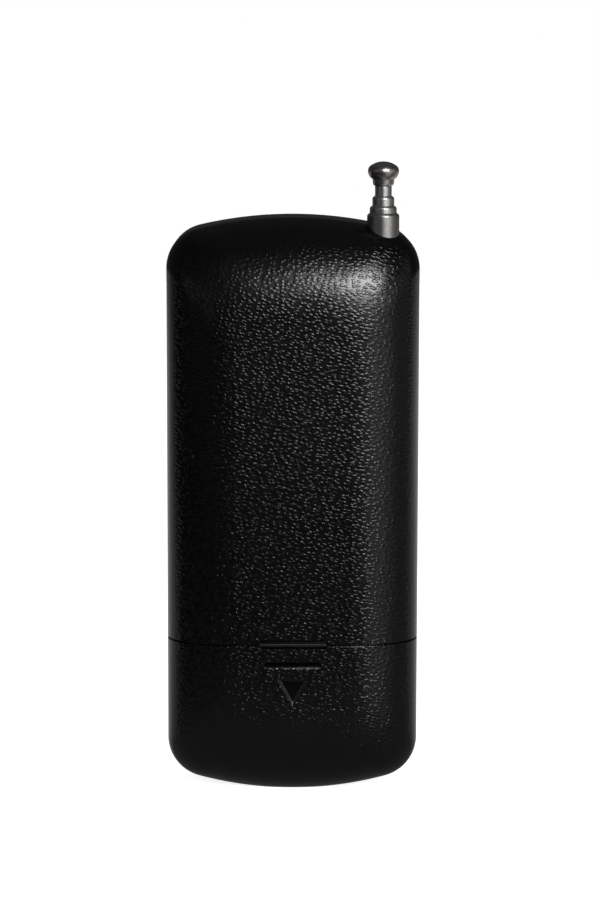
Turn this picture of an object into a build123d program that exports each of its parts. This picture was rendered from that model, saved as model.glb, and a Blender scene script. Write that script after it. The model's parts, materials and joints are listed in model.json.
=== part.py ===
from build123d import *

import os
from math import cos, radians, sin, sqrt

# Handheld wireless transmitter: moulded case, sliding battery cap, four keys and a telescopic mast.
# Millimetres. X is across the case, Y runs from the back (-Y) to the keypad side (+Y), Z is up.
# The origin is at the middle of the case's foot.

# ---- case ----
case_width = 46.5
case_height = 106.5
wall = 1.8
corner_radius = 7.7            # plan corners of the case seen from the back
top_bow_radius = 76.0          # gentle arch of the upper end
foot_bow_radius = 66.0         # gentle arch of the lower end
foot_land_width = 15.0         # flat middle of the lower end, which the case stands on
back_roll_side = 12.5          # how far the rolled back reaches in from the sides
back_roll_top = 17.0           # and down from the top
back_roll_foot = 14.5          # and up from the foot
back_roll_depth = 9.8          # depth of the rolled back
front_edge_radius = 3.6
roll_steps = 6                 # sections of the loft that makes the rolled back

# ---- lip where the two shells meet ----
lip_height = 1.2
lip_gap = 0.1

# ---- battery cap ----
cap_height = 28.65
seam_width = 0.26              # open line round the case above the cap
seam_depth = 0.6
seam_round = 0.18              # rounded edge of the cap along the seam
spigot_length = 8.0            # how far the case reaches down inside the cap
spigot_wall = 1.2
spigot_gap = 0.2
spigot_root = 2.0
detent_width = 9.0
detent_radius = 0.8
detent_rise = 0.14             # less than the spigot gap
detent_drop = 4.0              # below the seam

# ---- catch, grip groove and arrow on the back of the cap ----
catch_width = 12.8
catch_window_above = 0.8       # window in the case above the seam
catch_window_below = 0.9       # window in the cap below the seam
catch_window_depth = 1.3
catch_bar_height = 0.62
catch_bar_rise = 0.12          # top of the bar above the seam
catch_bar_sink = 0.25          # face of the bar below the back face
catch_gap = 0.12
groove_width = 10.6
groove_height = 1.25
groove_depth = 0.75
groove_lip_height = 0.4        # gentle slope along the groove's lower edge
groove_lip_depth = 0.13
groove_drop = 3.95             # middle of the groove below the seam
arrow_width = 5.8
arrow_height = 5.2
arrow_drop = 6.4               # top of the arrow below the seam
arrow_depth = 0.3
arrow_draft = 58.0

# ---- 9 V block ----
battery_width = 26.5
battery_depth = 17.5
battery_height = 46.4
battery_edge = 2.0
battery_bottom = 7.6
battery_side_gap = 0.4         # to the ribs
battery_face_gap = 0.55        # to the spigot
stud_pitch = 12.7
stud_height = 2.5
stud_radius = 2.85
socket_radius = 4.1
socket_bore = 2.7
stud_waist = 0.4
pad_width = 22.0
pad_depth = 12.0
bay_rib = 1.2

# ---- contact plate and springs ----
spring_rise = 2.2
spring_width = 5.0
spring_strip = 0.3
plate_thickness = 1.5
plate_gap = 0.15
plate_mast_gap = 0.55
ledge_width = 20.0
ledge_reach = 1.2
ledge_thickness = 1.0

# ---- mast ----
mast_inset = 6.8               # axis in from the side of the case
mast_setback = 1.3             # axis behind the plane where the shells meet
mast_radius = 2.95             # outer tube
mast_step = 0.475              # radius lost from each tube to the next
tube_wall = 0.25
tube_fit = 0.06                # running fit of bushes and rolled mouths
mast_foot_lift = 0.3           # outer tube's foot above the contact plate's underside
outer_tube_rise = 0.65         # outer tube above the top of the case
tube_shows = [1.35, 1.8, 1.7]  # how much of each inner tube stands out when pushed in
tube_shoulder = 0.5            # height of the rolled-in top of each tube
tube_shoulder_in = 0.42        # how far it leans in
tube_shoulder_bend = 0.7
tube_mouth = 0.6               # height of each rolled mouth
bush_height = 6.0
bush_slot = 0.7
tube_floor_gap = 0.6           # the inner tubes stop short of each other's foot
knob_radius = 2.83
knob_height = 4.55
knob_collar_radius = 1.9
knob_collar_height = 1.3
knob_foot_chamfer = 0.4
knob_throat_radius = 2.0       # where the collar flares into the dome
knob_waist_height = 2.8        # widest ring of the knob above its base
mast_hole_gap = 0.03
foot_plug_height = 5.0
foot_plug_depth = 2.5
foot_screw_radius = 1.25
foot_screw_length = 4.0
foot_head_radius = 2.2
foot_head_height = 1.4
lug_thickness = 0.4
lug_width = 2.6
lug_rise = 4.0
saddle_thickness = 1.6
saddle_width = 8.4
saddle_foot_rise = 4.0         # lower saddle above the tube's foot
saddle_top_drop = 13.0         # upper saddle below the tube's top

# ---- circuit board ----
board_back_y = 2.0
board_thickness = 1.6
board_side_gap = 2.45
board_top_drop = 5.5           # top of the board below the top of the case
board_corner = 5.0
board_lift = 0.2               # board foot above the contact plate
board_screw_side = 2.0         # in from the side of the board
board_screw_inset = 4.4        # in from the ends of the board
board_screw_radius = 1.0
board_head_radius = 1.9
board_head_height = 1.2
board_boss_radius = 2.2
board_screw_length = 6.0
locator_radius = 1.1
locator_fit = 0.05

# ---- keypad ----
panel_width = 31.0
panel_height = 31.8
panel_drop = 5.7               # top of the panel below the top of the case
panel_corner = 4.0
panel_depth = 0.7
key_pitch_x = 15.0
key_pitch_z = 13.5
key_width = 11.0
key_height = 8.0
key_corner = 2.6
key_gap = 0.25
key_sink = 0.2                 # key face below the front face of the case
key_flange = 0.9
key_flange_thickness = 1.2
key_rest_gap = 0.08
key_travel = 0.35
key_row_drop = 17.5            # middle of the upper row below the top of the case
key_dish = 0.3
key_edge = 0.4
switch_side = 6.2
switch_height = 3.6
plunger_radius = 1.7
plunger_fit = 0.08
plunger_dip = 0.6              # how far the plunger reaches into the switch

# ---- indicator ----
lamp_x = 0.0
lamp_drop = 9.0
lamp_radius = 1.5
lamp_height = 5.0
lamp_flange = 0.35
window_radius = 1.6
window_sink = 0.1
window_flange = 0.5
window_fit = 0.05

# ---- case screws ----
case_screw_drop = 4.3          # below the seam
case_boss_radius = 2.0
case_screw_radius = 0.9
case_head_radius = 1.55
case_head_height = 1.5
case_head_depth = 2.7          # seat of the heads behind the plane where the shells meet
case_screw_length = 9.0
screw_gap = 0.05
drive_slot = 0.5

# ---- small parts on the board ----
can_radius = 4.6
can_height = 3.4
can_rim = 0.5
chip_width = 6.4
chip_length = 10.2
chip_height = 2.2
chip_legs = 8
coil_side = 7.0
coil_height = 7.6
coil_slug_radius = 1.9
trimmer_radius = 3.0
trimmer_height = 3.2
capacitor_radius = 2.5
capacitor_length = 6.5
crystal_width = 9.0
crystal_height = 3.6
crystal_side = 8.0             # in from the side of the board
crystal_rise = 7.5             # above the foot of the board
can_side = 9.5
can_drop = 10.0                # below the top of the board
chip_x = -1.5
chip_drop = 22.5
chip_stand = 0.3
coil_x = 4.5
coil_drop = 8.0
trimmer_x = 8.0
trimmer_gap = 0.8              # below the coil
capacitor_x = 8.5
capacitor_rise = 3.2
capacitor_gap = 0.6

foot_land_sag = foot_bow_radius - sqrt(foot_bow_radius ** 2 - foot_land_width ** 2 / 4)
case_depth = battery_depth + 2 * (battery_face_gap + spigot_wall + spigot_gap + wall)
front_y = case_depth / 2
back_y = -front_y
parting_y = back_y + back_roll_depth    # the shells meet where the case is widest
inner_y = front_y - wall
spigot_y = inner_y - spigot_gap
panel_y = front_y - panel_depth
battery_top_z = battery_bottom + battery_height
stud_top_z = battery_top_z + stud_height
plate_z = stud_top_z + spring_rise
mast_x = case_width / 2 - mast_inset
mast_y = parting_y - mast_setback
mast_foot_z = plate_z + mast_foot_lift
outer_tube_top = case_height + outer_tube_rise
board_front_y = board_back_y + board_thickness
board_foot_z = plate_z + plate_thickness + board_lift
board_top_z = case_height - board_top_drop
board_width = case_width - 2 * (wall + board_side_gap)
board_height = board_top_z - board_foot_z
board_middle_z = (board_foot_z + board_top_z) / 2
locator_x = board_width / 2 - board_screw_side
locator_z = board_top_z - board_screw_inset
can_x = can_side - board_width / 2
crystal_x = crystal_side - board_width / 2
coil_z = board_top_z - coil_drop
trimmer_z = coil_z - coil_side / 2 - trimmer_gap - trimmer_radius
key_row_z = case_height - key_row_drop
lamp_z = case_height - lamp_drop
panel_middle_z = case_height - panel_drop - panel_height / 2
open_seam_z = cap_height - seam_width
groove_z = cap_height - groove_drop
arrow_top_z = cap_height - arrow_drop
case_head_y = parting_y - case_head_depth
key_back_y = inner_y - key_rest_gap - key_flange_thickness
catch_window_height = catch_window_above + catch_window_below
plug_foot_z = mast_foot_z + foot_plug_depth - foot_plug_height
tube_radii = [mast_radius - mast_step * index for index in range(4)]
tube_tops = [outer_tube_top + sum(tube_shows[:index]) for index in range(4)]
tube_feet = [mast_foot_z] + [
    mast_foot_z + foot_plug_depth + tube_floor_gap * index for index in range(1, 4)
]


# ---- building blocks ----
def section(y):
    """Sketch plane across the case at one depth; its normal points to the back."""
    return Plane(origin=(0, y, 0), x_dir=(1, 0, 0), z_dir=(0, -1, 0))


def block(x_range, y_range, z_range):
    """Box between two corners."""
    ranges = (x_range, y_range, z_range)
    size = [high - low for low, high in ranges]
    middle = [(high + low) / 2 for low, high in ranges]
    return Pos(*middle) * Box(*size)


def slab(y_from=-case_depth, y_to=case_depth, z_from=-1.0, z_to=case_height + 1.0):
    """Box wider than the case, between two depths and two heights."""
    return block((-case_width, case_width), (y_from, y_to), (z_from, z_to))


def upright_rod(x, y, z_from, z_to, radius):
    """Cylinder along Z between two heights."""
    return Pos(x, y, (z_from + z_to) / 2) * Cylinder(radius, z_to - z_from)


def deep_rod(x, z, y_from, y_to, radius):
    """Cylinder along Y between two depths."""
    return Pos(x, (y_from + y_to) / 2, z) * Rot(90, 0, 0) * Cylinder(radius, y_to - y_from)


def plate(x, z, width, height, corner, y_from, y_to):
    """Round-cornered plate across the case, between two depths."""
    outline = Pos(x, z) * RectangleRounded(width, height, corner)
    return extrude(section(y_to) * outline, y_to - y_from)


def turned(points, x, y):
    """Body turned about an upright axis from its half profile of radius and height."""
    profile = make_face(Plane.XZ * Polyline(points, close=True))
    return Pos(x, y, 0) * revolve(profile, Axis.Z)


def turned_deep(points, x, z):
    """Body turned about an axis along Y from its half profile of radius and depth."""
    profile = make_face(Plane.XY * Polyline(points, close=True))
    return Pos(x, 0, z) * revolve(profile, Axis.Y)


# ---- the case's form ----
def arched_outline(half_width, foot_z, top_z, corner):
    """Outline of the case seen from the back: upright sides, bowed ends, round corners."""
    top_edge_z = top_z - top_bow_radius + sqrt(top_bow_radius ** 2 - half_width ** 2)
    foot_edge_z = foot_z + foot_bow_radius - sqrt(foot_bow_radius ** 2 - half_width ** 2)
    low_left = (-half_width, foot_edge_z)
    low_right = (half_width, foot_edge_z)
    high_right = (half_width, top_edge_z)
    high_left = (-half_width, top_edge_z)
    foot = ThreePointArc(low_left, (0, foot_z), low_right)
    right = Line(low_right, high_right)
    top = ThreePointArc(high_right, (0, top_z), high_left)
    left = Line(high_left, low_left)
    face = make_face(foot + right + top + left)
    return fillet(face.vertices(), corner)


def case_form(inset):
    """The case's solid form, or the same form drawn in for a cavity or a spigot."""
    half_width = case_width / 2 - inset
    corner = corner_radius - inset
    foot_z = inset - foot_land_sag
    rolled = []
    for step in range(roll_steps + 1):
        angle = radians(90 * step / roll_steps)
        share = 1 - cos(angle)
        outline = arched_outline(
            half_width - (back_roll_side - inset) * share,
            foot_z + (back_roll_foot - foot_z) * share,
            case_height - inset - (back_roll_top - inset) * share,
            corner,
        )
        depth = (back_roll_depth - inset) * sin(angle)
        rolled.append(section(parting_y - depth) * outline)
    widest = arched_outline(half_width, foot_z, case_height - inset, corner)
    front = extrude(section(parting_y) * widest, parting_y - front_y + inset)
    rim = front.faces().sort_by(Axis.Y)[-1].edges()
    return loft(rolled) + fillet(rim, front_edge_radius - inset)


outer_form = case_form(0) & slab(z_from=0)
middle_form = case_form(wall / 2)
cavity_form = case_form(wall)
spigot_form = case_form(wall + spigot_gap)
bay_form = case_form(wall + spigot_gap + spigot_wall)


# ---- places that repeat ----
def case_screw_places():
    """Two screws under the battery cap, one each side of the battery."""
    bay_half_width = case_width / 2 - wall - spigot_gap - spigot_wall
    midway = (bay_half_width + battery_width / 2) / 2
    return [(side * midway, cap_height - case_screw_drop) for side in (-1, 1)]


def board_screw_places():
    """Two screws along one side of the board."""
    x = board_screw_side - board_width / 2
    return [(x, board_foot_z + board_screw_inset), (x, board_top_z - board_screw_inset)]


def key_places():
    """Two rows of two keys, upper row first."""
    return [
        (column * key_pitch_x / 2, key_row_z - row * key_pitch_z)
        for row in (0, 1)
        for column in (-1, 1)
    ]


# ---- shapes shared by the shells and the cap ----
def mast_hole(z_from):
    """Bore for the outer tube, open at the top of the case."""
    return upright_rod(mast_x, mast_y, z_from, case_height + 1, mast_radius + mast_hole_gap)


def catch_window():
    """Slot-shaped window that the seam crosses, with room for the catch bar."""
    centre_z = cap_height + (catch_window_above - catch_window_below) / 2
    slot = Pos(0, centre_z) * SlotOverall(catch_width, catch_window_height)
    return extrude(section(back_y) * slot, catch_window_depth, both=True)


def detent(side, radius):
    """Round bead along X on the inside of the cap, at the back or the keypad side."""
    bead = Rot(0, 90, 0) * Cylinder(radius, detent_width)
    centre_y = side * (inner_y - detent_rise + detent_radius)
    return Pos(0, centre_y, cap_height - detent_drop) * bead


def bay_ribs(y_from, y_to):
    """Pair of upright ribs that steady the battery from the sides."""
    inner = battery_width / 2 + battery_side_gap
    heights = (cap_height + spigot_root / 2, battery_top_z)
    left = block((-inner - bay_rib, -inner), (y_from, y_to), heights)
    right = block((inner, inner + bay_rib), (y_from, y_to), heights)
    return (left + right) & middle_form


def plate_ledge(y_from, y_to):
    """Ledge under the contact plate."""
    half = ledge_width / 2
    return block((-half, half), (y_from, y_to), (plate_z - ledge_thickness, plate_z)) & middle_form


def case_above_seam():
    """Both shells as one: skin, root ring and the spigot that the cap slides over."""
    skin = (outer_form - cavity_form) & slab(z_from=cap_height)
    ring = (outer_form - bay_form) & slab(z_from=cap_height, z_to=cap_height + spigot_root)
    spigot_zone = slab(z_from=cap_height - spigot_length, z_to=cap_height + spigot_root)
    spigot = (spigot_form - bay_form) & spigot_zone
    case = skin + ring + spigot
    for side in (-1, 1):
        case -= detent(side, detent_radius + spigot_gap)
    return case


# ---- case ----
def rear_shell(case):
    """Rolled back of the case, with the saddles that carry the mast."""
    shell = case & slab(y_to=parting_y)
    rebate = slab(parting_y - lip_height, parting_y, cap_height + spigot_root)
    shell -= (middle_form - cavity_form) & rebate
    shell += bay_ribs(back_y, parting_y - lip_height)
    shell += plate_ledge(back_y, ledge_reach - inner_y)
    saddle_feet = (mast_foot_z + saddle_foot_rise, outer_tube_top - saddle_top_drop)
    saddle_span = (mast_x - saddle_width / 2, mast_x + saddle_width / 2)
    for foot in saddle_feet:
        saddle = block(saddle_span, (back_y, mast_y), (foot, foot + saddle_thickness))
        shell += saddle & middle_form
    shell -= mast_hole(mast_foot_z)
    for x, z in case_screw_places():
        boss = deep_rod(x, z, back_y, parting_y, case_boss_radius) & spigot_form
        shell += boss
        shell -= deep_rod(x, z, back_y, case_head_y, case_head_radius + screw_gap)
        shell -= deep_rod(x, z, back_y, parting_y, case_screw_radius + screw_gap)
    return shell - catch_window()


def front_shell(case):
    """Keypad side of the case, with its lip, bosses and openings."""
    shell = case & slab(y_from=parting_y)
    lip_zone = slab(parting_y - lip_height + lip_gap, parting_y, cap_height + spigot_root + lip_gap)
    shell += (case_form(wall / 2 + lip_gap) - cavity_form) & lip_zone
    shell += bay_ribs(parting_y, front_y)
    shell += plate_ledge(inner_y - ledge_reach, front_y)
    for x, z in case_screw_places():
        shell += deep_rod(x, z, parting_y, spigot_y, case_boss_radius)
        shell -= deep_rod(x, z, parting_y, case_head_y + case_screw_length + 1, case_screw_radius)
    for x, z in board_screw_places():
        shell += deep_rod(x, z, board_front_y, inner_y + wall / 2, board_boss_radius)
        shell -= deep_rod(x, z, board_front_y, board_back_y + board_screw_length + 1, board_screw_radius)
    shell += deep_rod(locator_x, locator_z, board_front_y, inner_y + wall / 2, board_boss_radius)
    shell += deep_rod(locator_x, locator_z, board_back_y, board_front_y, locator_radius)
    shell -= plate(0, panel_middle_z, panel_width, panel_height, panel_corner, panel_y, front_y + 1)
    for x, z in key_places():
        width = key_width + 2 * key_gap
        height = key_height + 2 * key_gap
        shell -= plate(x, z, width, height, key_corner + key_gap, inner_y - 1, front_y + 1)
    shell -= deep_rod(lamp_x, lamp_z, inner_y - 1, front_y + 1, window_radius + window_fit)
    return shell - mast_hole(mast_foot_z)


def grip_groove():
    """Thumb groove: square upper edge, lower side that slopes out to a gentle lip, round ends."""
    top = groove_z + groove_height / 2
    foot = groove_z - groove_height / 2
    points = [
        (back_y - 1, top),
        (back_y + groove_depth, top),
        (back_y + groove_lip_depth, foot + groove_lip_height),
        (back_y, foot),
        (back_y - 1, foot),
    ]
    wedge = extrude(make_face(Plane.YZ * Polyline(points, close=True)), groove_width / 2, both=True)
    slot = Pos(0, groove_z) * SlotOverall(groove_width, groove_height)
    return wedge & extrude(section(back_y) * slot, groove_depth + 1, both=True)


def arrow_recess():
    """Arrowhead that points the way the cap slides, with drafted sides."""
    half = arrow_width / 2
    corners = [(-half, arrow_top_z), (half, arrow_top_z), (0, arrow_top_z - arrow_height)]
    face = section(back_y) * make_face(Polyline(corners, close=True))
    return extrude(face, -arrow_depth, taper=arrow_draft) + extrude(face, 1)


def battery_cap():
    """End cap of the case that slides down off the spigot."""
    cap = (outer_form - cavity_form) & slab(z_to=cap_height)
    open_seam = slab(z_from=open_seam_z, z_to=cap_height)
    cap -= (outer_form - case_form(seam_depth)) & open_seam
    ledge = cap.faces().filter_by_position(Axis.Z, open_seam_z - 0.01, open_seam_z + 0.01)[0]
    cap = fillet(ledge.outer_wire().edges(), seam_round)
    for side in (-1, 1):
        cap += detent(side, detent_radius) & slab(z_to=cap_height) & outer_form
    return cap - catch_window() - grip_groove() - arrow_recess()


def cap_catch():
    """Round-fronted bar in the window across the seam."""
    centre_z = cap_height + catch_bar_rise - catch_bar_height / 2
    slot = Pos(0, centre_z) * SlotOverall(catch_width - 2 * catch_gap, catch_bar_height)
    bar = extrude(section(back_y + catch_window_depth) * slot, catch_window_depth - catch_bar_sink)
    rim = bar.faces().sort_by(Axis.Y)[0].edges()
    return fillet(rim, catch_bar_height * 0.35)


# ---- battery and its contacts ----
def battery_pad():
    """Foam pad on the cap's floor, under the battery."""
    pad = block(
        (-pad_width / 2, pad_width / 2), (-pad_depth / 2, pad_depth / 2), (0, battery_bottom)
    )
    return pad & cavity_form


def battery_block():
    """Nine volt block with rounded upright edges."""
    outline = Pos(0, 0, battery_bottom) * RectangleRounded(battery_width, battery_depth, battery_edge)
    return extrude(outline, battery_height)


def battery_terminals():
    """Round stud and wider socket on top of the battery."""
    waist = stud_radius - stud_waist
    stud = turned(
        [
            (0, battery_top_z),
            (waist, battery_top_z),
            (waist, stud_top_z - stud_height / 2),
            (stud_radius, stud_top_z - stud_height / 3),
            (stud_radius, stud_top_z - stud_waist),
            (waist, stud_top_z),
            (0, stud_top_z),
        ],
        stud_pitch / 2,
        0,
    )
    socket = turned(
        [
            (socket_bore, battery_top_z),
            (socket_radius - stud_waist, battery_top_z),
            (socket_radius, stud_top_z - stud_height / 2),
            (socket_radius, stud_top_z),
            (socket_bore, stud_top_z),
        ],
        -stud_pitch / 2,
        0,
    )
    return [stud, socket]


def contact_plate():
    """Plate across the case that closes the battery bay and carries the springs."""
    side = mast_x - mast_radius - plate_mast_gap
    sides = (-side, side)
    heights = (plate_z, plate_z + plate_thickness)
    return block(sides, (back_y, front_y), heights) & case_form(wall + plate_gap)


def contact_springs():
    """Bent strips that press on the battery's terminals."""
    upper = plate_z - spring_strip / 2
    lower = stud_top_z + spring_strip / 2
    reach = socket_radius
    path = Polyline((-reach, upper), (reach / 2, upper), (-reach / 3, lower), (-reach, lower))
    strip = Plane.YZ * trace(path, spring_strip)
    spring = extrude(strip, spring_width / 2, both=True)
    return [Pos(side * stud_pitch / 2, 0, 0) * spring for side in (-1, 1)]


# ---- mast ----
def tube(index):
    """Thin tube with its mouth rolled in to run on the next tube."""
    radius = tube_radii[index]
    bore = radius - tube_wall
    foot = tube_feet[index]
    top = tube_tops[index]
    mouth = tube_radii[index + 1] + tube_fit
    side = Polyline((mouth, top - tube_mouth), (bore, top - tube_mouth), (bore, foot), (radius, foot))
    wall_line = Line((radius, foot), (radius, top - tube_shoulder))
    lip = radius - tube_shoulder_in
    shoulder = RadiusArc((radius, top - tube_shoulder), (lip, top), -tube_shoulder_bend)
    rim = Polyline((lip, top), (mouth, top), (mouth, top - tube_mouth))
    profile = make_face(Plane.XZ * (side + wall_line + shoulder + rim))
    return Pos(mast_x, mast_y, 0) * revolve(profile, Axis.Z)


def top_rod():
    """Solid innermost section."""
    return upright_rod(mast_x, mast_y, tube_feet[3], tube_tops[3], tube_radii[3])


def bush(index):
    """Slotted friction bush round the foot of an inner section."""
    outer = tube_radii[index - 1] - tube_wall - tube_fit
    inner = tube_radii[index]
    foot = tube_feet[index]
    ring = upright_rod(mast_x, mast_y, foot, foot + bush_height, outer)
    ring -= upright_rod(mast_x, mast_y, foot, foot + bush_height, inner)
    slot_sides = (mast_x, mast_x + 2 * outer)
    slot_depth = (mast_y - bush_slot / 2, mast_y + bush_slot / 2)
    return ring - block(slot_sides, slot_depth, (foot + bush_height / 5, foot + bush_height + 1))


def mast_knob():
    """Turned knob: chamfered collar that flares into a round, flattened dome."""
    base = tube_tops[3]
    top = base + knob_height
    collar_top = base + knob_collar_height
    waist = base + knob_waist_height
    shoulder = (knob_radius * cos(radians(45)), waist + (top - waist) * sin(radians(45)))
    collar = Polyline(
        (0, base),
        (knob_collar_radius - knob_foot_chamfer, base),
        (knob_collar_radius, base + knob_foot_chamfer),
        (knob_throat_radius, collar_top),
    )
    cheek = Spline(
        (knob_throat_radius, collar_top),
        (knob_radius, waist),
        tangents=[(0.8, 0.6), (0, 1)],
    )
    dome = Spline(
        (knob_radius, waist),
        shoulder,
        (0, top),
        tangents=[(0, 1), (-1, 0)],
    )
    profile = make_face(Plane.XZ * (collar + cheek + dome + Line((0, top), (0, base))))
    return Pos(mast_x, mast_y, 0) * revolve(profile, Axis.Z)


def mast_plug():
    """Brass plug in the foot of the outer tube."""
    bore = tube_radii[0] - tube_wall
    inside = upright_rod(mast_x, mast_y, mast_foot_z, mast_foot_z + foot_plug_depth, bore)
    below = upright_rod(mast_x, mast_y, plug_foot_z, mast_foot_z, mast_radius)
    tapped = upright_rod(
        mast_x, mast_y, plug_foot_z, plug_foot_z + foot_screw_length - lug_thickness, foot_screw_radius
    )
    return inside + below - tapped


def mast_lug():
    """Bent strip from the mast's foot to the back of the board."""
    strip_z = plug_foot_z - lug_thickness
    flat = block(
        (mast_x - lug_width / 2, mast_x + lug_width / 2),
        (mast_y, board_back_y),
        (strip_z, plug_foot_z),
    )
    eye = upright_rod(mast_x, mast_y, strip_z, plug_foot_z, foot_head_radius)
    leg = block(
        (mast_x - lug_width / 2, mast_x + lug_width / 2),
        (board_back_y - lug_thickness, board_back_y),
        (strip_z, board_foot_z + lug_rise),
    )
    hole = upright_rod(mast_x, mast_y, strip_z - 1, plug_foot_z + 1, foot_screw_radius)
    return flat + eye + leg - hole


def mast_screw():
    """Screw that clamps the lug to the plug."""
    seat = plug_foot_z - lug_thickness
    head = upright_rod(mast_x, mast_y, seat - foot_head_height, seat, foot_head_radius)
    shank = upright_rod(mast_x, mast_y, seat, seat + foot_screw_length, foot_screw_radius)
    drive = upright_rod(
        mast_x, mast_y, seat - foot_head_height, seat - foot_head_height / 2, foot_screw_radius
    )
    slot = block(
        (mast_x - foot_head_radius, mast_x + foot_head_radius),
        (mast_y - drive_slot / 2, mast_y + drive_slot / 2),
        (seat - foot_head_height, seat - foot_head_height / 2),
    )
    return head + shank - (slot & drive)


# ---- circuit board ----
def circuit_board():
    """Board with round top corners, screw holes and a locating hole."""
    outline = plate(
        0, board_middle_z, board_width, board_height, board_corner, board_back_y, board_front_y
    )
    square_foot = block(
        (-board_width / 2, board_width / 2),
        (board_back_y, board_front_y),
        (board_foot_z, board_middle_z),
    )
    board = outline + square_foot
    for x, z in board_screw_places():
        board -= deep_rod(x, z, board_back_y, board_front_y, board_screw_radius + screw_gap)
    return board - deep_rod(
        locator_x, locator_z, board_back_y, board_front_y, locator_radius + locator_fit
    )


def cross_head_screw(x, z, head_y, head_radius, head_height, shank_radius, shank_length):
    """Screw driven from the back, with its head's seat at one depth."""
    head = deep_rod(x, z, head_y - head_height, head_y, head_radius)
    shank = deep_rod(x, z, head_y, head_y + shank_length, shank_radius)
    cross = Box(drive_slot, head_height, head_radius * 1.3) + Box(head_radius * 1.3, head_height, drive_slot)
    return head + shank - Pos(x, head_y - head_height, z) * cross


def board_screws():
    """Screws that hold the board to the keypad side."""
    return [
        cross_head_screw(
            x,
            z,
            board_back_y,
            board_head_radius,
            board_head_height,
            board_screw_radius,
            board_screw_length,
        )
        for x, z in board_screw_places()
    ]


def case_screws():
    """Screws that close the case."""
    return [
        cross_head_screw(
            x,
            z,
            case_head_y,
            case_head_radius,
            case_head_height,
            case_screw_radius,
            case_screw_length,
        )
        for x, z in case_screw_places()
    ]


def filter_can():
    """Round metal can of the frequency-setting filter."""
    top = board_back_y - can_height
    return turned_deep(
        [
            (0, board_back_y),
            (can_radius, board_back_y),
            (can_radius, board_back_y - can_rim),
            (can_radius - can_rim, board_back_y - can_rim),
            (can_radius - can_rim, top + can_rim),
            (can_radius - 2 * can_rim, top),
            (0, top),
        ],
        can_x,
        board_top_z - can_drop,
    )


def encoder_chip():
    """Chip body with a row of legs down each side."""
    underside = board_back_y - chip_stand
    chip_z = board_top_z - chip_drop
    body = plate(
        chip_x, chip_z, chip_width, chip_length, chip_stand, underside - chip_height, underside
    )
    pitch = chip_length / chip_legs
    for side in (-1, 1):
        for index in range(chip_legs):
            leg_z = chip_z + (index + 0.5) * pitch - chip_length / 2
            inner = chip_x + side * (chip_width / 2 - chip_stand)
            outer = chip_x + side * (chip_width / 2 + pitch)
            leg = block(
                (min(inner, outer), max(inner, outer)),
                (board_back_y - chip_height, board_back_y),
                (leg_z - pitch / 5, leg_z + pitch / 5),
            )
            body += leg - block(
                (min(inner, outer - side * chip_stand), max(inner, outer - side * chip_stand)),
                (underside, board_back_y),
                (leg_z - pitch, leg_z + pitch),
            )
    return body


def tuning_coil():
    """Square screened coil with a slotted slug."""
    top = board_back_y - coil_height
    can = plate(coil_x, coil_z, coil_side, coil_side, coil_side / 10, top, board_back_y)
    can -= deep_rod(coil_x, coil_z, top, top + coil_height / 4, coil_slug_radius + screw_gap)
    slug = deep_rod(coil_x, coil_z, top + coil_height / 16, top + coil_height / 4, coil_slug_radius)
    slot = Pos(coil_x, top, coil_z) * Box(2 * coil_slug_radius, coil_height / 4, drive_slot)
    return can + (slug - slot)


def trimmer():
    """Round trimmer with a slotted rotor."""
    top = board_back_y - trimmer_height
    base = deep_rod(trimmer_x, trimmer_z, top + trimmer_height / 3, board_back_y, trimmer_radius)
    rotor = deep_rod(trimmer_x, trimmer_z, top, board_back_y, trimmer_radius * 0.7)
    slot = Pos(trimmer_x, top, trimmer_z) * Box(trimmer_radius * 1.4, trimmer_height / 3, drive_slot)
    return base + rotor - slot


def capacitors():
    """Two electrolytic capacitors that stand on the board."""
    built = []
    for index in range(2):
        z = board_foot_z + capacitor_rise + index * (2 * capacitor_radius + capacitor_gap)
        top = board_back_y - capacitor_length
        body = deep_rod(capacitor_x, z, top, board_back_y, capacitor_radius)
        built.append(chamfer(body.faces().sort_by(Axis.Y)[0].edges(), capacitor_radius / 6))
    return built


def crystal():
    """Oval crystal can."""
    slot = Pos(crystal_x, board_foot_z + crystal_rise) * SlotOverall(crystal_width, crystal_height)
    can = extrude(section(board_back_y) * slot, crystal_height)
    return chamfer(can.faces().sort_by(Axis.Y)[0].edges(), crystal_height / 8)


# ---- keypad and lamp ----
def key_cap(x, z):
    """Key with a dished face and a flange that the case holds back."""
    face_y = front_y - key_sink
    body = plate(x, z, key_width, key_height, key_corner, key_back_y, face_y)
    body = fillet(body.faces().sort_by(Axis.Y)[-1].edges(), key_edge)
    flange = plate(
        x,
        z,
        key_width + 2 * key_flange,
        key_height + 2 * key_flange,
        key_corner + key_flange,
        key_back_y,
        key_back_y + key_flange_thickness,
    )
    dish_radius = (key_width ** 2 / 4 + key_dish ** 2) / (2 * key_dish)
    return body + flange - Pos(x, face_y + dish_radius - key_dish, z) * Sphere(dish_radius)


def switch_body(x, z):
    """Square switch with a bore for its plunger."""
    top = board_front_y + switch_height
    body = plate(x, z, switch_side, switch_side, switch_side / 20, board_front_y, top)
    body = chamfer(body.faces().sort_by(Axis.Y)[-1].edges(), switch_side / 30)
    bore_foot = top - plunger_dip - key_travel - 2 * plunger_fit
    return body - deep_rod(x, z, bore_foot, top, plunger_radius + plunger_fit)


def switch_plunger(x, z):
    """Plunger between the key and the switch."""
    return deep_rod(x, z, board_front_y + switch_height - plunger_dip, key_back_y, plunger_radius)


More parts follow.
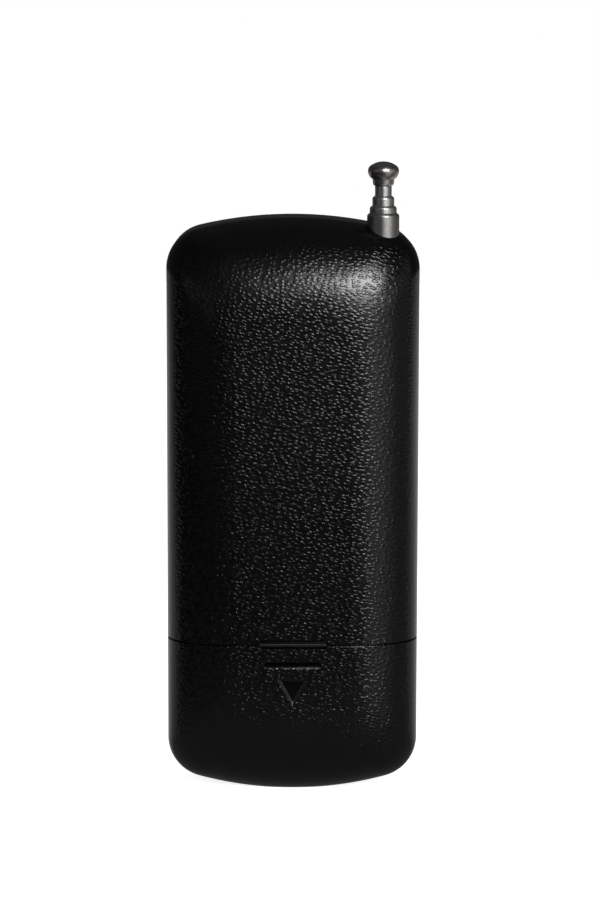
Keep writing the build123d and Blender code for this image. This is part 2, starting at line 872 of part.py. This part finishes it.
def status_lamp():
    """Small round lamp with a flange at its foot and a domed end."""
    foot = board_front_y
    dome_start = foot + lamp_height - lamp_radius
    outline = Polyline(
        (0, foot),
        (lamp_radius + lamp_flange, foot),
        (lamp_radius + lamp_flange, foot + 2 * lamp_flange),
        (lamp_radius, foot + 2 * lamp_flange),
        (lamp_radius, dome_start),
    )
    dome = RadiusArc((lamp_radius, dome_start), (0, foot + lamp_height), -lamp_radius)
    profile = make_face(outline + dome + Line((0, foot + lamp_height), (0, foot)))
    return Pos(lamp_x, 0, lamp_z) * revolve(profile, Axis.Y)


def lamp_window():
    """Clear window over the lamp, with a flange inside the case."""
    flange_foot = inner_y - 2 * window_flange
    return turned_deep(
        [
            (0, flange_foot),
            (window_radius + window_flange, flange_foot),
            (window_radius + window_flange, inner_y),
            (window_radius, inner_y),
            (window_radius, panel_y - window_sink),
            (0, panel_y - window_sink),
        ],
        lamp_x,
        lamp_z,
    )


# ---- the assembly ----
case = case_above_seam()
nodes = {
    "rear_shell": rear_shell(case),
    "front_shell": front_shell(case),
    "battery_cap": battery_cap(),
    "cap_catch": cap_catch(),
    "battery_pad": battery_pad(),
    "battery_block": battery_block(),
    "battery_terminals": battery_terminals(),
    "contact_plate": contact_plate(),
    "contact_springs": contact_springs(),
    "mast_tube_outer": tube(0),
    "mast_tube_lower": tube(1),
    "mast_tube_upper": tube(2),
    "mast_rod": top_rod(),
    "mast_knob": mast_knob(),
    "mast_plug": mast_plug(),
    "mast_lug": mast_lug(),
    "mast_screw": mast_screw(),
    "circuit_board": circuit_board(),
    "board_screws": board_screws(),
    "case_screws": case_screws(),
    "filter_can": filter_can(),
    "encoder_chip": encoder_chip(),
    "tuning_coil": tuning_coil(),
    "trimmer": trimmer(),
    "capacitors": capacitors(),
    "crystal": crystal(),
    "status_lamp": status_lamp(),
    "lamp_window": lamp_window(),
}
for index, name in enumerate(("lower", "upper", "rod"), start=1):
    nodes["mast_bush_" + name] = bush(index)
for number, (key_x, key_z) in enumerate(key_places(), start=1):
    nodes[f"key_cap_{number}"] = key_cap(key_x, key_z)
    nodes[f"switch_plunger_{number}"] = switch_plunger(key_x, key_z)
    nodes[f"switch_body_{number}"] = switch_body(key_x, key_z)

os.makedirs("parts", exist_ok=True)
for name, shape in nodes.items():
    solids = shape if isinstance(shape, list) else [shape]
    export_step(Compound(children=solids), f"parts/{name}.step")
    print(name, round(sum(solid.volume for solid in solids), 1))
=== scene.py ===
import json
from math import cos, pi, radians, sin

import bpy
from mathutils import Matrix, Vector

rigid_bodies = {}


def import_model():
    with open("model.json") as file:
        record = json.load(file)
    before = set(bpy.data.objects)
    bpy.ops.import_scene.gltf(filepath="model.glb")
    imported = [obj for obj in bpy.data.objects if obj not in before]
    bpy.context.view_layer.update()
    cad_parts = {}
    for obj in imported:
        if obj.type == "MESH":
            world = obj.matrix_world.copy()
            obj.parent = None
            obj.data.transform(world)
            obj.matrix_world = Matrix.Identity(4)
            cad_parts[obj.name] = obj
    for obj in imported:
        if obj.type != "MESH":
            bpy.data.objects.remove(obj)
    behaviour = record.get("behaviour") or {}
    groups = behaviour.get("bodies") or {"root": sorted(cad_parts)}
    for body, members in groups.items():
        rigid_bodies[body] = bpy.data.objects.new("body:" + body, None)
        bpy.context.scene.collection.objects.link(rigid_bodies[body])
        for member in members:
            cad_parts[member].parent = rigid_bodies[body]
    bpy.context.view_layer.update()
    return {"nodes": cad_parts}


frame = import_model()
millimetre = 0.001
white = (1.0, 1.0, 1.0, 1.0)
print("loaded", len(frame["nodes"]), "nodes")


def startMaterial(name):
    material = bpy.data.materials.new(name)
    material.use_nodes = True
    tree = material.node_tree
    return material, tree, tree.nodes["Principled BSDF"]


def addNode(tree, kind, inputs=None, **settings):
    # inputs may hold plain values or other nodes' outputs
    made = tree.nodes.new(kind)
    for key, value in settings.items():
        setattr(made, key, value)
    for key, value in (inputs or {}).items():
        if isinstance(value, bpy.types.NodeSocket):
            tree.links.new(value, made.inputs[key])
        else:
            made.inputs[key].default_value = value
    return made


def maths(tree, operation, first, second=0.0, third=0.0):
    inputs = {0: first, 1: second, 2: third}
    return addNode(tree, "ShaderNodeMath", inputs, operation=operation).outputs[0]


def ramp(tree, value, low, high, start=0.0, end=1.0):
    # smooth step from start to end while value goes from low to high
    inputs = {"Value": value, "From Min": low, "From Max": high, "To Min": start, "To Max": end}
    made = addNode(tree, "ShaderNodeMapRange", inputs, interpolation_type="SMOOTHSTEP")
    return made.outputs["Result"]


def mixColour(tree, factor, first, second):
    # sockets 0, 6 and 7 are the factor and the two colours
    inputs = {0: factor, 6: (*first, 1.0), 7: (*second, 1.0)}
    return addNode(tree, "ShaderNodeMix", inputs, data_type="RGBA").outputs[2]


def shaded(colour, share):
    return tuple(channel * share for channel in colour)


def inMillimetres(tree):
    # place on the piece in millimetres; it rides with the piece
    place = addNode(tree, "ShaderNodeTexCoord").outputs["Object"]
    inputs = {0: place, "Scale": 1 / millimetre}
    return addNode(tree, "ShaderNodeVectorMath", inputs, operation="SCALE").outputs["Vector"]


def split(tree, vector):
    return addNode(tree, "ShaderNodeSeparateXYZ", {0: vector}).outputs


def facing(tree):
    # the way the surface faces, along the piece's own axes
    return split(tree, addNode(tree, "ShaderNodeTexCoord").outputs["Normal"])


def noise(tree, place, perMm, detail=2.0, roughness=0.5):
    inputs = {"Vector": place, "Scale": perMm, "Detail": detail, "Roughness": roughness}
    return addNode(tree, "ShaderNodeTexNoise", inputs).outputs["Fac"]


def bump(tree, shader, height, depth, edge=0.0):
    # depth is in mm, and so is edge, which rounds the sharp edges of the piece
    inputs = {"Height": height, "Strength": 1.0, "Distance": depth * millimetre}
    made = addNode(tree, "ShaderNodeBump", inputs)
    if edge > 0:
        rounded = addNode(tree, "ShaderNodeBevel", {"Radius": edge * millimetre}, samples=6)
        tree.links.new(rounded.outputs["Normal"], made.inputs["Normal"])
    tree.links.new(made.outputs["Normal"], shader.inputs["Normal"])


caseLook = {
    "colour": (0.0006, 0.0006, 0.0006),
    "dust": (0.0012, 0.0012, 0.0012),   # in the valleys of the grain
    "gloss": 0.17,                # roughness of the bare moulded sides
    "grainGloss": 0.225,          # roughness of the grained back
    "smudgePerMm": 0.12,
    "smudgeDetail": 3.0,
    "smudge": 0.06,               # change of roughness where hands have been
    "slant": 14.0,                # degrees; the pebbles run downhill to the right
    "alongPerMm": 0.95,           # pebbles in a millimetre along the slant
    "acrossPerMm": 1.62,          # and across it
    "scatter": 0.8,
    "warpScale": 1.7,
    "warpDetail": 2.0,
    "warpRoughness": 0.6,
    "warp": 0.42,                 # how far the pebbles are pushed out of their rows
    "swell": 0.5,                 # slow rise and fall under the pebbles
    "uneven": 0.32,               # share by which the pebbles differ in height
    "flank": (0.16, 0.46),        # where a pebble's side starts and ends
    "grainDepth": 0.0315,         # mm
    "microPerMm": 9.0,
    "micro": 0.008,               # share of the grain's depth
    "crown": 0.10,                # mm; the flat of the back is a little crowned
    "crownReach": 21.5,           # mm
    "edge": 0.15,                 # mm; rounding of the sharp edges of the moulding
    "tilt": (0.5, 0.72),          # the grain fades where the back turns away
    "shoulder": (0.03, 0.32),     # from the flat of the back to its rolled sides
    "shoulderDeeper": 0.8,        # the grain is this much deeper on the rolled sides
    "capFade": (1.0, 10.0),       # mm up; the foot of the cap is smooth
    "shellFade": (28.3, 28.6),    # mm up; so is the part of the case inside the cap
    "recessHalf": 7.2,            # mm; the cut-outs at the seam and the arrow are smooth
    "recessLow": 15.0,
    "recessHigh": 30.5,
    "recessFace": -12.43,
}


def grainReach(tree, look, fade, spot, way):
    # 1 on the grained back, 0 on the sides, in the cut-outs and below the fade
    reach = ramp(tree, maths(tree, "MULTIPLY", way["Y"], -1.0), *look["tilt"])
    reach = maths(tree, "MULTIPLY", reach, ramp(tree, spot["Z"], *fade))
    tests = (
        ("GREATER_THAN", spot["Y"], look["recessFace"]),
        ("LESS_THAN", maths(tree, "ABSOLUTE", spot["X"]), look["recessHalf"]),
        ("GREATER_THAN", spot["Z"], look["recessLow"]),
        ("LESS_THAN", spot["Z"], look["recessHigh"]),
    )
    inside = 1.0
    for operation, value, limit in tests:
        inside = maths(tree, "MULTIPLY", maths(tree, operation, value, limit), inside)
    return maths(tree, "MULTIPLY", reach, maths(tree, "SUBTRACT", 1.0, inside))


def pebbles(tree, look, spot):
    # squeezed cells in slanting rows, pushed about by a slow drift
    slant = radians(look["slant"])
    along = maths(tree, "MULTIPLY", spot["X"], cos(slant) * look["alongPerMm"])
    along = maths(tree, "MULTIPLY_ADD", spot["Z"], -sin(slant) * look["alongPerMm"], along)
    over = maths(tree, "MULTIPLY", spot["Z"], cos(slant) * look["acrossPerMm"])
    over = maths(tree, "MULTIPLY_ADD", spot["X"], sin(slant) * look["acrossPerMm"], over)
    flat = addNode(tree, "ShaderNodeCombineXYZ", {"X": along, "Y": over}).outputs[0]
    drift = addNode(
        tree,
        "ShaderNodeTexNoise",
        {
            "Vector": flat,
            "Scale": look["warpScale"],
            "Detail": look["warpDetail"],
            "Roughness": look["warpRoughness"],
        },
        noise_dimensions="2D",
    )
    laid = addNode(
        tree,
        "ShaderNodeVectorMath",
        {0: drift.outputs["Color"], 1: (look["warp"],) * 3, 2: flat},
        operation="MULTIPLY_ADD",
    )
    cells = addNode(
        tree,
        "ShaderNodeTexVoronoi",
        {"Vector": laid.outputs[0], "Scale": 1.0, "Randomness": look["scatter"]},
        feature="F1",
        voronoi_dimensions="2D",
    )
    pebble = ramp(tree, cells.outputs["Distance"], *look["flank"], 1.0, 0.0)
    chance = addNode(tree, "ShaderNodeSeparateColor", {0: cells.outputs["Color"]}).outputs[0]
    lift = maths(tree, "MULTIPLY_ADD", chance, look["uneven"], 1.0 - look["uneven"])
    height = maths(tree, "MULTIPLY", pebble, lift)
    height = maths(tree, "MULTIPLY_ADD", drift.outputs["Fac"], look["swell"], height)
    return pebble, height


def grainedPlastic(name, look, fade):
    material, tree, shader = startMaterial(name)
    place = inMillimetres(tree)
    spot = split(tree, place)
    way = facing(tree)
    reach = grainReach(tree, look, fade, spot, way)
    pebble, height = pebbles(tree, look, spot)
    sideways = maths(tree, "ABSOLUTE", way["X"])
    deeper = ramp(tree, sideways, *look["shoulder"], 1.0, 1.0 + look["shoulderDeeper"])
    height = maths(tree, "MULTIPLY", height, maths(tree, "MULTIPLY", reach, deeper))
    micro = noise(tree, place, look["microPerMm"])
    height = maths(tree, "MULTIPLY_ADD", micro, look["micro"], height)
    # the flat shrinks a little in the mould, which leaves it crowned
    turn = maths(tree, "MULTIPLY", spot["X"], pi / look["crownReach"])
    crown = look["crown"] / look["grainDepth"]
    height = maths(tree, "MULTIPLY_ADD", maths(tree, "COSINE", turn), crown, height)
    bump(tree, shader, height, look["grainDepth"], look["edge"])
    valley = maths(tree, "MULTIPLY", maths(tree, "SUBTRACT", 1.0, pebble), reach)
    colour = mixColour(tree, valley, look["colour"], look["dust"])
    tree.links.new(colour, shader.inputs["Base Color"])
    gloss = maths(tree, "MULTIPLY_ADD", reach, look["grainGloss"] - look["gloss"], look["gloss"])
    smudge = noise(tree, place, look["smudgePerMm"], look["smudgeDetail"])
    smudge = maths(tree, "SUBTRACT", smudge, 0.5)
    gloss = maths(tree, "MULTIPLY_ADD", smudge, look["smudge"], gloss)
    tree.links.new(gloss, shader.inputs["Roughness"])
    return material


mouldedLook = {
    "patchPerMm": 0.2,    # slow patches of shade and polish, the same on all the mouldings
    "shade": 0.8,
    "polish": 0.12,
    "grainDetail": 3.0,
}
mouldings = {
    "frontCase": {
        "colour": (0.0075, 0.0078, 0.0077), "gloss": 0.36, "grainPerMm": 5.0, "depth": 0.006
    },
    "catchGloss": {
        "colour": (0.004, 0.004, 0.004), "gloss": 0.36, "grainPerMm": 5.0, "depth": 0.001
    },
    "blackMoulding": {
        "colour": (0.03, 0.03, 0.031), "gloss": 0.4, "grainPerMm": 6.0, "depth": 0.005
    },
    "whiteMoulding": {
        "colour": (0.6, 0.6, 0.57), "gloss": 0.4, "grainPerMm": 6.0, "depth": 0.005
    },
    "tanMoulding": {
        "colour": (0.42, 0.28, 0.13), "gloss": 0.4, "grainPerMm": 6.0, "depth": 0.005
    },
    "keyRubber": {
        "colour": (0.05, 0.05, 0.052), "gloss": 0.5, "grainPerMm": 7.0, "depth": 0.008
    },
    "sleeve": {"colour": (0.03, 0.04, 0.12), "gloss": 0.25, "grainPerMm": 3.0, "depth": 0.003},
    "chipResin": {"colour": (0.02, 0.02, 0.02), "gloss": 0.5, "grainPerMm": 8.0, "depth": 0.006},
    "foam": {"colour": (0.05, 0.05, 0.055), "gloss": 0.95, "grainPerMm": 3.0, "depth": 0.12},
}


def finePlastic(name, colour, gloss, grainPerMm, depth):
    # moulded plastic with a fine spark-eroded surface; depth is in mm
    material, tree, shader = startMaterial(name)
    place = inMillimetres(tree)
    patch = noise(tree, place, mouldedLook["patchPerMm"])
    colours = mixColour(tree, patch, shaded(colour, mouldedLook["shade"]), colour)
    tree.links.new(colours, shader.inputs["Base Color"])
    polish = mouldedLook["polish"]
    roughness = maths(tree, "MULTIPLY_ADD", patch, polish, gloss - polish / 2)
    tree.links.new(roughness, shader.inputs["Roughness"])
    bump(tree, shader, noise(tree, place, grainPerMm, mouldedLook["grainDetail"]), depth)
    return material


metalLook = {
    "patchPerMm": 0.7,        # slow patches of shade and polish, the same on all the metals
    "patchDetail": 3.0,
    "patchPolish": 0.08,
    "shade": 0.86,
    "lineDetail": 2.0,
    "lineRoughness": 0.6,
    "linePolish": 0.10,
    "brighter": 0.08,         # brings the mean roughness back near the gloss
    "endFacing": (0.05, 0.3),
}
tubeShape = {
    "linesPerMm": 26.0,
    "depth": 0.003,           # mm
    "dullEnds": 0.1,          # the rolled ends of the tubes are duller by this much
    "edge": 0.3,              # mm
}
metals = {
    "mastNickel": {"colour": (0.58, 0.565, 0.55), "gloss": 0.29, **tubeShape},
    "outerNickel": {"colour": (0.43, 0.42, 0.41), "gloss": 0.29, **tubeShape},   # the duller tube
    "knobNickel": {
        "colour": (0.46, 0.43, 0.42), "gloss": 0.32, "linesPerMm": 8.0, "depth": 0.0004,
        "stretch": (1.0, 1.0, 1.0),
    },
    "platedSteel": {
        "colour": (0.62, 0.61, 0.59), "gloss": 0.3, "linesPerMm": 14.0, "depth": 0.001
    },
    "bareBrass": {"colour": (0.70, 0.50, 0.22), "gloss": 0.3, "linesPerMm": 14.0, "depth": 0.001},
    "batteryJacket": {
        "colour": (0.32, 0.32, 0.33), "gloss": 0.32, "linesPerMm": 10.0, "depth": 0.0008
    },
}


def drawnMetal(
    name, colour, gloss, linesPerMm, depth, stretch=(1.0, 1.0, 0.04), dullEnds=0.0, edge=0.0
):
    # drawn or turned metal: stretch draws its fine lines out along the piece
    look = metalLook
    material, tree, shader = startMaterial(name)
    place = inMillimetres(tree)
    drawn = addNode(tree, "ShaderNodeVectorMath", {0: place, 1: stretch}, operation="MULTIPLY")
    lines = noise(
        tree, drawn.outputs[0], linesPerMm, look["lineDetail"], look["lineRoughness"]
    )
    patch = noise(tree, place, look["patchPerMm"], look["patchDetail"])
    colours = mixColour(tree, patch, shaded(colour, look["shade"]), colour)
    tree.links.new(colours, shader.inputs["Base Color"])
    polish = maths(tree, "MULTIPLY_ADD", lines, look["linePolish"], gloss - look["brighter"])
    polish = maths(tree, "MULTIPLY_ADD", patch, look["patchPolish"], polish)
    ends = ramp(tree, facing(tree)["Z"], *look["endFacing"], 0.0, dullEnds)
    tree.links.new(maths(tree, "ADD", polish, ends), shader.inputs["Roughness"])
    shader.inputs["Metallic"].default_value = 1.0
    bump(tree, shader, lines, depth, edge)
    return material


boardLook = {
    "mask": (0.012, 0.10, 0.035),
    "track": (0.03, 0.17, 0.06),
    "gloss": 0.28,
    "blocksPerMm": 0.42,
    "scatter": 0.9,
    "rings": 3.2,             # tracks round each block
    "trackEdge": (0.26, 0.31),
    "depth": 0.02,            # mm
}


def boardGreen(name, look):
    # tracks under green solder mask
    material, tree, shader = startMaterial(name)
    blocks = addNode(
        tree,
        "ShaderNodeTexVoronoi",
        {
            "Vector": inMillimetres(tree),
            "Scale": look["blocksPerMm"],
            "Randomness": look["scatter"],
        },
        feature="F1",
        distance="MANHATTAN",
    )
    rings = maths(tree, "MULTIPLY", blocks.outputs["Distance"], look["rings"])
    track = ramp(tree, maths(tree, "PINGPONG", rings, 0.5), *look["trackEdge"])
    colour = mixColour(tree, track, look["mask"], look["track"])
    tree.links.new(colour, shader.inputs["Base Color"])
    shader.inputs["Roughness"].default_value = look["gloss"]
    bump(tree, shader, track, look["depth"])
    return material


lensLook = {
    "patchPerMm": 1.2,
    "shade": 0.8,
    "polish": 0.06,
    "clear": 0.75,            # share of the light that passes
    "bend": 1.49,             # index of acrylic
}
lenses = {
    "redLens": {"colour": (0.55, 0.03, 0.025), "gloss": 0.12},
    "windowRed": {"colour": (0.45, 0.04, 0.035), "gloss": 0.05},
}


def tinted(name, colour, gloss):
    material, tree, shader = startMaterial(name)
    patch = noise(tree, inMillimetres(tree), lensLook["patchPerMm"])
    colours = mixColour(tree, patch, shaded(colour, lensLook["shade"]), colour)
    tree.links.new(colours, shader.inputs["Base Color"])
    roughness = maths(tree, "MULTIPLY_ADD", patch, lensLook["polish"], gloss)
    tree.links.new(roughness, shader.inputs["Roughness"])
    shader.inputs["Transmission Weight"].default_value = lensLook["clear"]
    shader.inputs["IOR"].default_value = lensLook["bend"]
    return material


materials = {
    "grainedShell": grainedPlastic("grainedShell", caseLook, caseLook["shellFade"]),
    "grainedCap": grainedPlastic("grainedCap", caseLook, caseLook["capFade"]),
    "boardGreen": boardGreen("boardGreen", boardLook),
}
for make, looks in ((finePlastic, mouldings), (drawnMetal, metals), (tinted, lenses)):
    for name, look in looks.items():
        materials[name] = make(name, **look)
print("made", len(materials), "materials")

finishOf = {
    "grainedShell": ["rear_shell"],
    "grainedCap": ["battery_cap"],
    "frontCase": ["front_shell"],
    "catchGloss": ["cap_catch"],
    "mastNickel": ["mast_tube_lower", "mast_tube_upper", "mast_rod"],
    "outerNickel": ["mast_tube_outer"],
    "knobNickel": ["mast_knob"],
    "platedSteel": [
        "battery_terminals",
        "board_screws",
        "case_screws",
        "filter_can",
        "crystal",
        "mast_screw",
        "tuning_coil",
    ],
    "bareBrass": [
        "contact_springs",
        "mast_plug",
        "mast_lug",
        "mast_bush_lower",
        "mast_bush_upper",
        "mast_bush_rod",
    ],
    "batteryJacket": ["battery_block"],
    "blackMoulding": ["contact_plate"] + [f"switch_body_{number}" for number in range(1, 5)],
    "whiteMoulding": [f"switch_plunger_{number}" for number in range(1, 5)],
    "keyRubber": [f"key_cap_{number}" for number in range(1, 5)],
    "tanMoulding": ["trimmer"],
    "sleeve": ["capacitors"],
    "chipResin": ["encoder_chip"],
    "foam": ["battery_pad"],
    "boardGreen": ["circuit_board"],
    "redLens": ["status_lamp"],
    "windowRed": ["lamp_window"],
}
for finish, nodeNames in finishOf.items():
    for nodeName in nodeNames:
        for slot in bpy.data.objects[nodeName].material_slots:
            slot.material = materials[finish]
print("finishes on", sum(len(names) for names in finishOf.values()), "nodes")


# distances on the floor are metres from the foot of the case
floorLook = {
    "half": 1.4,
    "shade": 0.82,
    "dullness": 0.9,
    "seen": 0.86,                 # light that the camera sees on top of the lamps'
    "behind": 0.57,               # what the case mirrors of the floor behind it
    "turnNear": -0.1,             # close to the foot that light starts beside the case
    "turnFar": 0.07,              # farther off it starts a little behind
    "turnEnd": 0.80,              # and it is full nearly straight behind
    "lean": 0.15,                 # the right side of the floor is a little brighter
    "turnReach": (0.15, 0.55),
    "near": 0.13,
    "fadeNear": (0.05, 0.14),
    "fadeFar": (0.6, 1.35),
    "farShare": 0.5,
    "sectorStart": (12.0, 36.0),  # degrees to the right; a brighter part of the floor
    "sectorEnd": (42.0, 80.0),
    "sectorNear": 0.42,
    "sectorFar": 0.75,
    "sectorSide": 0.12,
    "sectorReach": (0.1, 0.7),
    "sectorFoot": (0.02, 0.11),   # the sector is weaker close to the foot
    "sectorFootShare": 0.25,
}


def mirroredFloor(tree, look):
    # how bright the floor is in the gloss of the case
    place = addNode(tree, "ShaderNodeTexCoord").outputs["Object"]
    spot = split(tree, place)
    away = addNode(tree, "ShaderNodeVectorMath", {0: place}, operation="LENGTH").outputs["Value"]
    lean = ramp(tree, away, *look["turnReach"], 0.0, look["lean"])
    leaning = maths(tree, "MULTIPLY_ADD", spot["X"], lean, spot["Y"])
    turn = maths(tree, "DIVIDE", leaning, maths(tree, "MAXIMUM", away, millimetre))
    start = ramp(tree, away, *look["turnReach"], look["turnNear"], look["turnFar"])
    behind = addNode(
        tree,
        "ShaderNodeMapRange",
        {
            "Value": turn,
            "From Min": start,
            "From Max": look["turnEnd"],
            "To Min": 0.0,
            "To Max": look["behind"],
        },
    )
    far = ramp(tree, away, *look["fadeFar"], 1.0, look["farShare"])
    near = ramp(tree, away, *look["fadeNear"], look["near"], 0.0)
    behind = maths(tree, "MULTIPLY", behind.outputs["Result"], far)
    level = maths(tree, "MAXIMUM", behind, near)
    frontward = maths(tree, "MULTIPLY", spot["Y"], -1.0)
    angle = maths(tree, "ARCTAN2", spot["X"], frontward)
    angle = maths(tree, "MULTIPLY", angle, 180 / pi)
    rising = ramp(tree, angle, *look["sectorStart"])
    falling = ramp(tree, angle, *look["sectorEnd"], 1.0, 0.0)
    reach = ramp(tree, away, *look["sectorReach"], look["sectorNear"], look["sectorFar"])
    foot = ramp(tree, away, *look["sectorFoot"], look["sectorFootShare"], 1.0)
    sector = maths(tree, "MULTIPLY", falling, maths(tree, "MULTIPLY", reach, foot))
    sector = maths(tree, "MAXIMUM", sector, look["sectorSide"])
    return maths(tree, "MAXIMUM", level, maths(tree, "MULTIPLY", rising, sector))


def buildFloor(look):
    half = look["half"]
    corners = [(-half, -half, 0), (half, -half, 0), (half, half, 0), (-half, half, 0)]
    mesh = bpy.data.meshes.new("floor")
    mesh.from_pydata(corners, [], [(0, 1, 2, 3)])
    floor = bpy.data.objects.new("floor", mesh)
    bpy.context.scene.collection.objects.link(floor)
    material, tree, shader = startMaterial("paleFloor")
    shader.inputs["Base Color"].default_value = (*(look["shade"],) * 3, 1.0)
    shader.inputs["Roughness"].default_value = look["dullness"]
    shader.inputs["Specular IOR Level"].default_value = 0.0
    path = addNode(tree, "ShaderNodeLightPath").outputs
    lit = shader.outputs[0]
    glow = addNode(tree, "ShaderNodeEmission", {"Color": white, "Strength": look["seen"]})
    shown = addNode(tree, "ShaderNodeAddShader", {0: lit, 1: glow.outputs[0]})
    inputs = {0: path["Is Camera Ray"], 1: lit, 2: shown.outputs[0]}
    plain = addNode(tree, "ShaderNodeMixShader", inputs)
    inputs = {"Color": white, "Strength": mirroredFloor(tree, look)}
    reflected = addNode(tree, "ShaderNodeEmission", inputs)
    mirrored = maths(tree, "MAXIMUM", path["Is Glossy Ray"], path["Is Transmission Ray"])
    inputs = {0: mirrored, 1: plain.outputs[0], 2: reflected.outputs[0]}
    chosen = addNode(tree, "ShaderNodeMixShader", inputs)
    tree.links.new(chosen.outputs[0], tree.nodes["Material Output"].inputs["Surface"])
    mesh.materials.append(material)
    # the cap stands on the floor when it slides off
    floor.parent = bpy.data.objects["battery_cap"].parent


worldLook = {
    "soft": 0.42,                   # light on the object
    "front": 0.012,                 # what gloss mirrors from behind the camera
    "back": 0.05,
    "frontToBack": (-0.3, 0.9),
    "above": 0.04,
    "aboveFrom": (0.7, 0.98),
    "seen": 1.0,                    # the white that the camera sees
}


def buildWorld(look):
    world = bpy.data.worlds.new("studio")
    bpy.context.scene.world = world
    world.use_nodes = True
    tree = world.node_tree
    path = addNode(tree, "ShaderNodeLightPath").outputs
    way = split(tree, addNode(tree, "ShaderNodeTexCoord").outputs["Generated"])
    mirrored = ramp(tree, way["Y"], *look["frontToBack"], look["front"], look["back"])
    above = ramp(tree, way["Z"], *look["aboveFrom"], 0.0, look["above"])
    mirrored = maths(tree, "ADD", mirrored, above)
    shown = maths(tree, "MAXIMUM", path["Is Camera Ray"], path["Is Transmission Ray"])
    # sockets 0, 2 and 3 of a plain mix are the factor and the two values
    inputs = {0: path["Is Glossy Ray"], 2: look["soft"], 3: mirrored}
    light = addNode(tree, "ShaderNodeMix", inputs).outputs[0]
    strength = addNode(tree, "ShaderNodeMix", {0: shown, 2: light, 3: look["seen"]}).outputs[0]
    background = tree.nodes["Background"]
    background.inputs["Color"].default_value = white
    tree.links.new(strength, background.inputs["Strength"])


# turn is degrees to the right of straight behind the camera, rise is degrees above level;
# reach, width and height are metres
lampLook = {
    "key": {
        "turn": 20.0, "rise": 19.0, "reach": 0.8, "width": 0.35, "height": 0.20, "radiance": 19.5
    },
    "strip": {
        "turn": 46.0, "rise": 4.0, "reach": 0.8, "width": 0.5, "height": 0.16, "radiance": 1.0
    },
    "side": {
        "turn": 82.0, "rise": 10.0, "reach": 0.8, "width": 0.4, "height": 0.4, "radiance": 0.25
    },
    "fill": {
        "turn": -50.0, "rise": 7.0, "reach": 0.9, "width": 0.8, "height": 0.16, "radiance": 0.3
    },
}
lampAim = Vector((0.0, 0.0, 90.0)) * millimetre


def buildLamp(name, turn, rise, reach, width, height, radiance):
    turn, rise = radians(turn), radians(rise)
    way = Vector((sin(turn) * cos(rise), -cos(turn) * cos(rise), sin(rise)))
    data = bpy.data.lights.new(name + "Lamp", "AREA")
    data.shape = "RECTANGLE"
    data.size = width
    data.size_y = height
    data.energy = radiance * pi * width * height
    made = bpy.data.objects.new(name + "Lamp", data)
    bpy.context.scene.collection.objects.link(made)
    made.location = lampAim + reach * way
    made.rotation_euler = way.to_track_quat("Z", "Y").to_euler()
    made.visible_camera = False


buildFloor(floorLook)
buildWorld(worldLook)
for name, lamp in lampLook.items():
    buildLamp(name, **lamp)
print("studio built with", len(lampLook), "lamps")

cameraLook = {
    "place": (-2.87, -500.8, 127.84),   # mm
    "aim": (1.37, 0.0, 63.01),
    "roll": 0.11,                       # degrees
    "lens": 108.55,
    "sensor": 36.0,
    "clip": (0.01, 20.0),               # metres
}


def buildCamera(look):
    data = bpy.data.cameras.new("camera")
    data.lens = look["lens"]
    data.sensor_width = look["sensor"]
    data.clip_start, data.clip_end = look["clip"]
    camera = bpy.data.objects.new("camera", data)
    bpy.context.scene.collection.objects.link(camera)
    place = Vector(look["place"]) * millimetre
    aim = Vector(look["aim"]) * millimetre
    turn = (aim - place).to_track_quat("-Z", "Y").to_matrix()
    turn = turn @ Matrix.Rotation(radians(look["roll"]), 3, "Z")
    camera.location = place
    camera.rotation_euler = turn.to_euler()
    bpy.context.scene.camera = camera


buildCamera(cameraLook)
bpy.context.scene.view_settings.view_transform = "Standard"
print("camera set")
